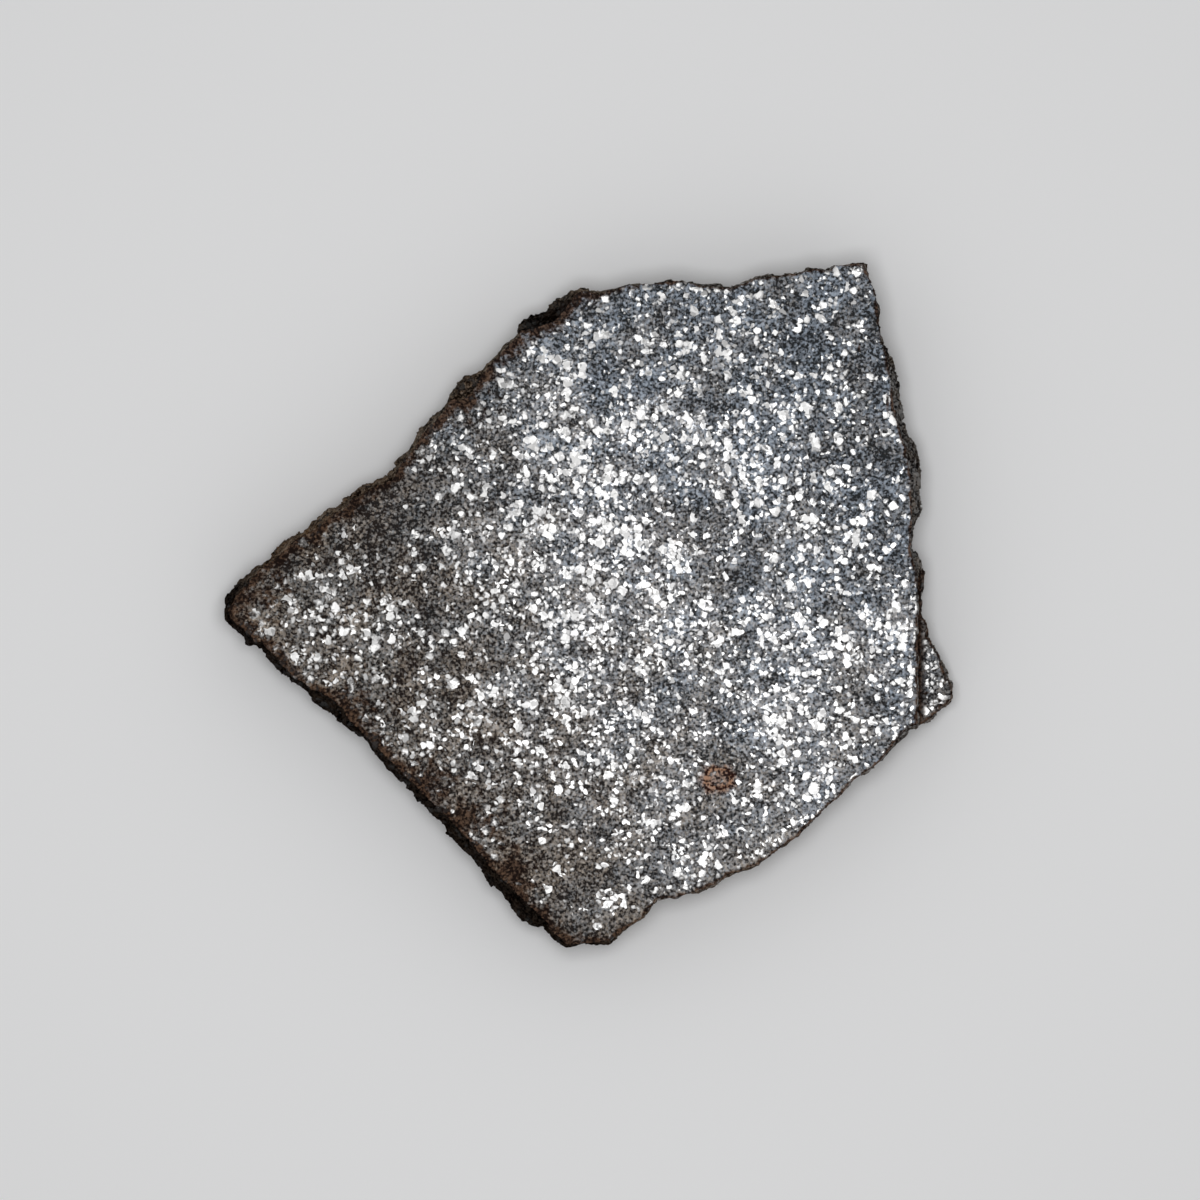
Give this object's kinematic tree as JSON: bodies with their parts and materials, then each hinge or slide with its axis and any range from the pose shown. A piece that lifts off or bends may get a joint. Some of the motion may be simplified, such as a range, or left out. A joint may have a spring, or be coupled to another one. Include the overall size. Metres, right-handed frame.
{
  "type": "meteorite slice",
  "caption": "Kite-shaped slice of stony meteorite with a polished metal-flecked face, a sawn ledge and a rough dark rim, to lie flat as a display specimen.",
  "frame": {"origin": "under the middle of the slice's box, on the sawn underside that it lies on", "axes": "+Z out of the polished face, +X along the longest width from the left tip to the ledge, +Y towards the straight top side"},
  "size_m": [0.0366, 0.0344, 0.0046],
  "materials": {
    "chondrite": "polished grey stone with bright metal grains, rim rough and dark brown to black"
  },
  "bodies": {
    "root": {"meteorite_slice": "chondrite"}
  },
  "joints": []
}
